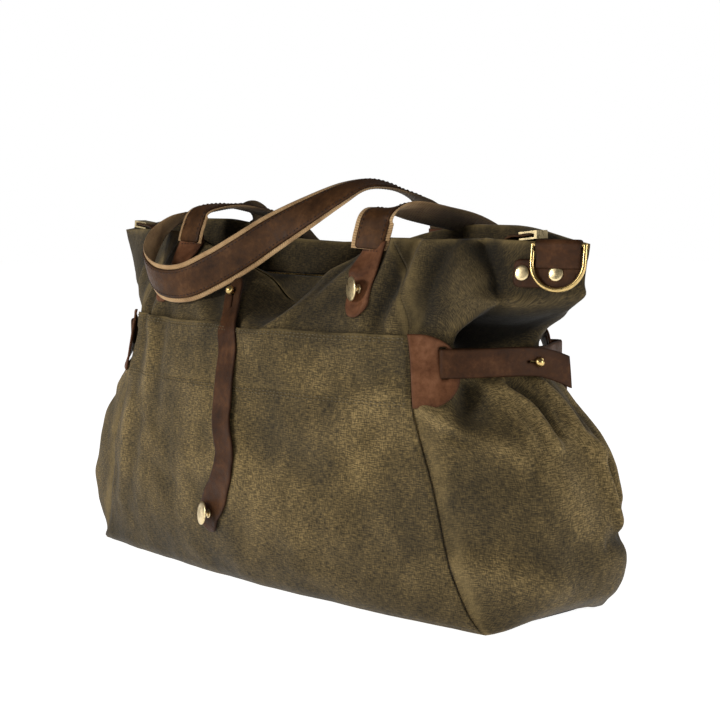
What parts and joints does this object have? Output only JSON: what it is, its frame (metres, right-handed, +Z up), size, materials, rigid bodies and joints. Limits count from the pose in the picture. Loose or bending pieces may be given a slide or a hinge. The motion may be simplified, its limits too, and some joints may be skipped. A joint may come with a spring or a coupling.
{
  "type": "duffel bag",
  "caption": "Soft canvas holdall with a zipped mouth, cinched gusseted ends, leather-backed webbing handles, slip pocket with strap, side straps and D-rings.",
  "frame": {"origin": "on the floor under the middle of the base", "axes": "+X along the bag to the right-hand end, -Y to the front with the pocket, +Z up"},
  "size_m": [0.6621, 0.2758, 0.3884],
  "materials": {
    "canvas": "waxed cotton canvas, washed, paler on the ridges",
    "lining_cloth": "plain woven cotton",
    "stiffener": "dark sheet",
    "zip_tape": "herringbone tape",
    "webbing": "ribbed cotton webbing",
    "handle_leather": "oiled, dark brown",
    "leather": "oiled, reddish brown",
    "brass": "satin, slightly aged"
  },
  "bodies": {
    "shell": {"front_panel": "canvas", "back_panel": "canvas", "left_gusset": "canvas", "right_gusset": "canvas", "base_panel": "canvas", "base_board": "stiffener", "lining_floor": "lining_cloth", "lining": "lining_cloth", "front_pocket": "canvas", "front_facing": "canvas", "back_facing": "canvas", "left_zip_tail": "leather", "right_zip_tail": "leather", "left_zip_clip": "brass", "right_zip_clip": "brass", "front_left_tab": "leather", "front_right_tab": "leather", "back_left_tab": "leather", "back_right_tab": "leather", "front_tab_studs": "brass", "back_tab_studs": "brass", "front_handle_ends": "webbing", "front_handle_end_leathers": "handle_leather", "centre_strap_end": "leather", "centre_flat_stud": "brass", "centre_ball_stud": "brass", "left_front_patch": "leather", "left_back_patch": "leather", "right_front_patch": "leather", "right_back_patch": "leather", "left_side_strap": "leather", "right_side_strap": "leather", "left_side_stud": "brass", "right_side_stud": "brass", "left_ring_tab": "leather", "right_ring_tab": "leather", "left_ring_rivets": "brass", "right_ring_rivets": "brass"},
    "front_zip_flap": {"front_zip_tape": "zip_tape", "front_zip_teeth": "brass"},
    "back_zip_flap": {"back_zip_tape": "zip_tape", "back_zip_teeth": "brass"},
    "zip_slider": {"zip_slider": "brass"},
    "zip_pull": {"zip_pull": "brass"},
    "front_handle": {"front_handle_webbing": "webbing", "front_handle_leather": "handle_leather"},
    "back_handle": {"back_handle_webbing": "webbing", "back_handle_leather": "handle_leather"},
    "centre_strap": {"centre_strap": "leather"},
    "left_strap_end": {"left_side_strap_end": "leather"},
    "right_strap_end": {"right_side_strap_end": "leather"},
    "left_ring": {"left_d_ring": "brass"},
    "right_ring": {"right_d_ring": "brass"}
  },
  "joints": [
    {"name": "front_zip_fold", "type": "hinge", "parent": "shell", "child": "front_zip_flap", "pos_m": [0, -0.048, 0.29], "axis": [1, 0, 0], "range_deg": [-75, 0]},
    {"name": "back_zip_fold", "type": "hinge", "parent": "shell", "child": "back_zip_flap", "pos_m": [0, -0.004, 0.29], "axis": [1, 0, 0], "range_deg": [0, 75]},
    {"name": "zip_slide", "type": "slide", "parent": "shell", "child": "zip_slider", "axis": [1, 0, 0], "range_m": [0, 0.392]},
    {"name": "zip_pull_swing", "type": "hinge", "parent": "zip_slider", "child": "zip_pull", "pos_m": [-0.202, -0.026, 0.2951], "axis": [0, 1, 0], "range_deg": [-110, 0]},
    {"name": "front_handle_lift", "type": "hinge", "parent": "shell", "child": "front_handle", "pos_m": [0, -0.062, 0.36], "axis": [1, 0, 0], "range_deg": [0, 90]},
    {"name": "back_handle_lift", "type": "hinge", "parent": "shell", "child": "back_handle", "pos_m": [0, 0.0184, 0.3387], "axis": [1, 0, 0], "range_deg": [-85, 0]},
    {"name": "centre_strap_fold", "type": "hinge", "parent": "shell", "child": "centre_strap", "pos_m": [0, -0.1382, 0.09], "axis": [1, 0, 0], "range_deg": [0, 110]},
    {"name": "right_strap_open", "type": "hinge", "parent": "shell", "child": "right_strap_end", "pos_m": [0.22436, -0.08387, 0.226], "axis": [0, 0, 1], "range_deg": [-110, 0]},
    {"name": "left_strap_open", "type": "hinge", "parent": "shell", "child": "left_strap_end", "pos_m": [-0.22436, -0.08387, 0.226], "axis": [0, 0, 1], "range_deg": [0, 110]},
    {"name": "right_ring_swing", "type": "hinge", "parent": "shell", "child": "right_ring", "pos_m": [0.3065, -0.0264, 0.3275], "axis": [0.9397, 0.342, 0], "range_deg": [-150, 0]},
    {"name": "left_ring_swing", "type": "hinge", "parent": "shell", "child": "left_ring", "pos_m": [-0.3061, 0.003, 0.3275], "axis": [-0.9744, -0.225, 0], "range_deg": [-150, 0]}
  ]
}
